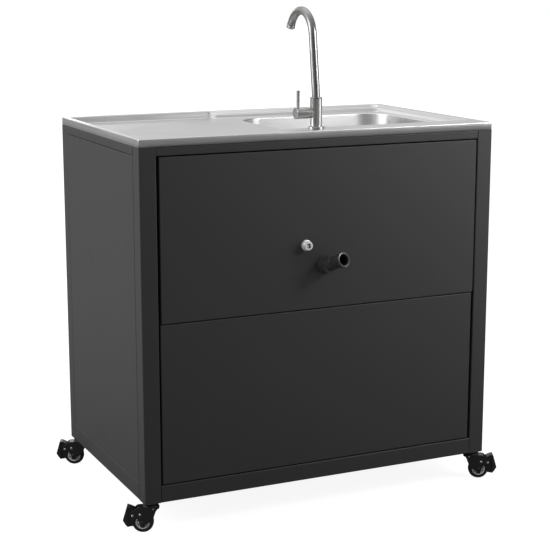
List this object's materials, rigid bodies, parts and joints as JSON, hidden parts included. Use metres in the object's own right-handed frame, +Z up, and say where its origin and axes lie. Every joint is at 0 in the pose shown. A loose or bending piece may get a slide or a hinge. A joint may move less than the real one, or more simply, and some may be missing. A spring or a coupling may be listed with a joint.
{
  "type": "portable handwash sink",
  "caption": "Wheeled steel sink cabinet with a pressed stainless top, a bowl beside a drainer, a gooseneck tap, rear water fittings and hinged doors on braked swivel casters.",
  "frame": {"origin": "on the floor under the middle of the whole object's box", "axes": "+Z up; -Y out of the service face with the water inlet and the drain outlet; +Y out of the doors; +X towards the bowl"},
  "size_m": [0.986, 0.6587, 1.1744],
  "materials": {
    "frame_steel": "satin black powder coat",
    "panel_steel": "satin black powder coat",
    "stainless": "satin stainless steel",
    "tap_metal": "satin nickel",
    "black_plastic": "fine moulded grain",
    "white_plastic": "moulded",
    "pipe_steel": "bright annealed stainless pipe",
    "zinc": "bright zinc plate",
    "caster_steel": "black coated pressing",
    "tyre_rubber": "moulded rubber",
    "hub_plastic": "moulded"
  },
  "bodies": {
    "cabinet": {"post_rear_left": "frame_steel", "post_rear_right": "frame_steel", "post_front_left": "frame_steel", "post_front_right": "frame_steel", "rear_bottom_rail": "frame_steel", "rear_top_rail": "frame_steel", "front_bottom_rail": "frame_steel", "front_top_rail": "frame_steel", "left_bottom_rail": "frame_steel", "left_top_rail": "frame_steel", "right_bottom_rail": "frame_steel", "right_top_rail": "frame_steel", "rear_panel_upper": "panel_steel", "rear_panel_lower": "panel_steel", "side_panel_left": "panel_steel", "side_panel_right": "panel_steel", "base_panel": "panel_steel", "sink_top": "stainless", "sink_bowl": "stainless", "waste_body": "stainless", "bottle_trap": "white_plastic", "drain_outlet": "black_plastic", "waste_pipe": "black_plastic", "water_inlet": "tap_metal", "supply_pipe": "pipe_steel", "tap_body": "tap_metal", "tap_nut": "zinc", "hinge_left_lower": "zinc", "hinge_left_upper": "zinc", "hinge_right_lower": "zinc", "hinge_right_upper": "zinc", "magnet_catch": "black_plastic", "caster_stem_rear_left": "zinc", "caster_stem_rear_right": "zinc", "caster_stem_front_left": "zinc", "caster_stem_front_right": "zinc"},
    "spout": {"spout": "tap_metal", "aerator": "tap_metal"},
    "lever": {"tap_lever": "tap_metal"},
    "strainer": {"strainer_basket": "stainless"},
    "left_door": {"door_left": "panel_steel", "door_handle_left": "stainless"},
    "right_door": {"door_right": "panel_steel", "door_handle_right": "stainless"},
    "caster_rear_left": {"caster_fork_rear_left": "caster_steel"},
    "wheel_rear_left": {"caster_tyre_rear_left": "tyre_rubber", "caster_hub_rear_left": "hub_plastic"},
    "brake_rear_left": {"brake_pedal_rear_left": "black_plastic"},
    "caster_rear_right": {"caster_fork_rear_right": "caster_steel"},
    "wheel_rear_right": {"caster_tyre_rear_right": "tyre_rubber", "caster_hub_rear_right": "hub_plastic"},
    "brake_rear_right": {"brake_pedal_rear_right": "black_plastic"},
    "caster_front_left": {"caster_fork_front_left": "caster_steel"},
    "wheel_front_left": {"caster_tyre_front_left": "tyre_rubber", "caster_hub_front_left": "hub_plastic"},
    "brake_front_left": {"brake_pedal_front_left": "black_plastic"},
    "caster_front_right": {"caster_fork_front_right": "caster_steel"},
    "wheel_front_right": {"caster_tyre_front_right": "tyre_rubber", "caster_hub_front_right": "hub_plastic"},
    "brake_front_right": {"brake_pedal_front_right": "black_plastic"}
  },
  "joints": [
    {"name": "spout_swivel", "type": "hinge", "parent": "cabinet", "child": "spout", "pos_m": [0, -0.21263, 0.96], "axis": [0, 0, 1], "continuous": true},
    {"name": "lever_turn", "type": "hinge", "parent": "cabinet", "child": "lever", "pos_m": [-0.044, -0.21263, 0.9363], "axis": [-1, 0, 0], "range_deg": [0, 90]},
    {"name": "strainer_lift", "type": "slide", "parent": "cabinet", "child": "strainer", "axis": [0, 0, 1], "range_m": [0, 0.06]},
    {"name": "left_door_hinge", "type": "hinge", "parent": "cabinet", "child": "left_door", "pos_m": [-0.409, 0.30338, 0.48], "axis": [0, 0, 1], "range_deg": [0, 105]},
    {"name": "right_door_hinge", "type": "hinge", "parent": "cabinet", "child": "right_door", "pos_m": [0.409, 0.30338, 0.48], "axis": [0, 0, -1], "range_deg": [0, 105]},
    {"name": "swivel_rear_left", "type": "hinge", "parent": "cabinet", "child": "caster_rear_left", "pos_m": [-0.43, -0.24063, 0.066], "axis": [0, 0, 1], "continuous": true},
    {"name": "roll_rear_left", "type": "hinge", "parent": "caster_rear_left", "child": "wheel_rear_left", "pos_m": [-0.44631, -0.23302, 0.025], "axis": [-0.4226, -0.9063, 0], "continuous": true},
    {"name": "brake_rear_left", "type": "hinge", "parent": "caster_rear_left", "child": "brake_rear_left", "pos_m": [-0.46807, -0.22287, 0.043], "axis": [-0.4226, -0.9063, 0], "range_deg": [0, 12]},
    {"name": "swivel_rear_right", "type": "hinge", "parent": "cabinet", "child": "caster_rear_right", "pos_m": [0.43, -0.24063, 0.066], "axis": [0, 0, 1], "continuous": true},
    {"name": "roll_rear_right", "type": "hinge", "parent": "caster_rear_right", "child": "wheel_rear_right", "pos_m": [0.44631, -0.24823, 0.025], "axis": [0.4226, 0.9063, 0], "continuous": true},
    {"name": "brake_rear_right", "type": "hinge", "parent": "caster_rear_right", "child": "brake_rear_right", "pos_m": [0.46807, -0.25838, 0.043], "axis": [0.4226, 0.9063, 0], "range_deg": [0, 12]},
    {"name": "swivel_front_left", "type": "hinge", "parent": "cabinet", "child": "caster_front_left", "pos_m": [-0.43, 0.27937, 0.066], "axis": [0, 0, 1], "continuous": true},
    {"name": "roll_front_left", "type": "hinge", "parent": "caster_front_left", "child": "wheel_front_left", "pos_m": [-0.44631, 0.28698, 0.025], "axis": [-0.4226, -0.9063, 0], "continuous": true},
    {"name": "brake_front_left", "type": "hinge", "parent": "caster_front_left", "child": "brake_front_left", "pos_m": [-0.46807, 0.29712, 0.043], "axis": [-0.4226, -0.9063, 0], "range_deg": [0, 12]},
    {"name": "swivel_front_right", "type": "hinge", "parent": "cabinet", "child": "caster_front_right", "pos_m": [0.43, 0.27937, 0.066], "axis": [0, 0, 1], "continuous": true},
    {"name": "roll_front_right", "type": "hinge", "parent": "caster_front_right", "child": "wheel_front_right", "pos_m": [0.44631, 0.27177, 0.025], "axis": [0.4226, 0.9063, 0], "continuous": true},
    {"name": "brake_front_right", "type": "hinge", "parent": "caster_front_right", "child": "brake_front_right", "pos_m": [0.46807, 0.26162, 0.043], "axis": [0.4226, 0.9063, 0], "range_deg": [0, 12]}
  ]
}
